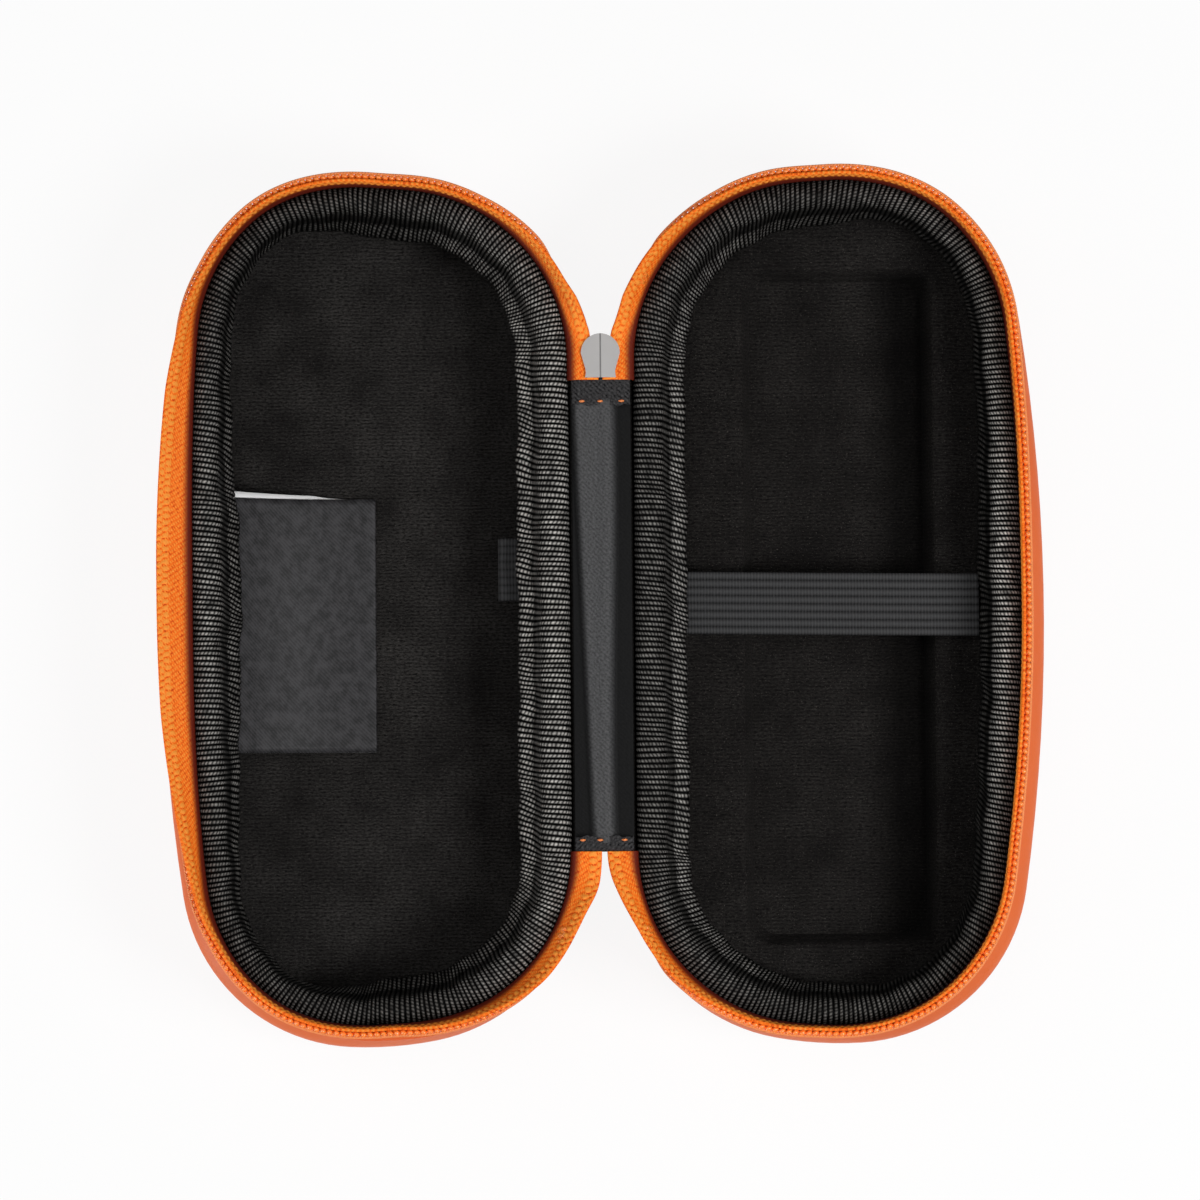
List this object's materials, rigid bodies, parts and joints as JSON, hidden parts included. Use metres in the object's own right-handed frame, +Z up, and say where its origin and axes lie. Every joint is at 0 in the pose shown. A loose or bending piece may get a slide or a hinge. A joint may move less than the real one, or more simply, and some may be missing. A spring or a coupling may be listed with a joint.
{
  "type": "hard case",
  "caption": "Zip-round hard case, open flat: two moulded halves on a fabric spine, ribbon-bound rims, zip with slider, moulded tray with elastic strap.",
  "frame": {"origin": "on the table under the middle of the fabric spine, with the case lying open", "axes": "+Z up out of the open halves, +Y along the spine towards the parked slider, +X from the spine to the base half"},
  "size_m": [0.1748, 0.1726, 0.0327],
  "materials": {
    "orange_cover": "smooth coated fabric laminated on moulded foam, orange",
    "foam": "closed-cell foam core, hidden between cover and lining",
    "knit_lining": "black fine-knit lining, matt",
    "grosgrain": "black ribbed grosgrain ribbon",
    "zip_tape": "orange twill zip tape",
    "zip_coil": "orange nylon coil",
    "elastic": "dark grey ribbed elastic webbing",
    "woven_label": "blank dark grey woven label",
    "satin": "dark grey satin-faced fabric",
    "slider_metal": "cast zinc, satin nickel"
  },
  "bodies": {
    "base": {"base_shell_cover": "orange_cover", "base_shell_foam": "foam", "base_lining": "knit_lining", "base_tray": "knit_lining", "base_binding": "grosgrain", "base_zip_tape": "zip_tape", "base_zip_coil": "zip_coil", "elastic_strap": "elastic"},
    "spine": {"spine_cover": "orange_cover", "spine_lining": "satin", "spine_tab_top": "satin", "spine_tab_bottom": "satin", "base_tape_end_top": "zip_tape", "lid_tape_end_top": "zip_tape", "base_tape_end_bottom": "zip_tape", "lid_tape_end_bottom": "zip_tape"},
    "lid": {"lid_shell_cover": "orange_cover", "lid_shell_foam": "foam", "lid_lining": "knit_lining", "lid_binding": "grosgrain", "lid_zip_tape": "zip_tape", "lid_zip_coil": "zip_coil", "label": "woven_label", "elastic_loop": "elastic"},
    "slider": {"slider_body": "slider_metal"},
    "pull": {"pull_tab": "slider_metal"}
  },
  "joints": [
    {"name": "spine_fold", "type": "hinge", "parent": "base", "child": "spine", "pos_m": [0.0061, 0, 0.027], "axis": [0, 1, 0], "range_deg": [0, 90]},
    {"name": "lid_fold", "type": "hinge", "parent": "spine", "child": "lid", "pos_m": [-0.0061, 0, 0.027], "axis": [0, 1, 0], "range_deg": [0, 90]},
    {"name": "slider_slide", "type": "slide", "parent": "spine", "child": "slider", "axis": [0, 1, 0], "range_m": [0, 0.006]},
    {"name": "pull_swing", "type": "hinge", "parent": "slider", "child": "pull", "pos_m": [0, 0.0486, 0.0233], "axis": [1, 0, 0], "range_deg": [-80, 80]}
  ],
  "couplings": [
    {"joint": "lid_fold", "follows": "spine_fold", "ratio": 1}
  ]
}
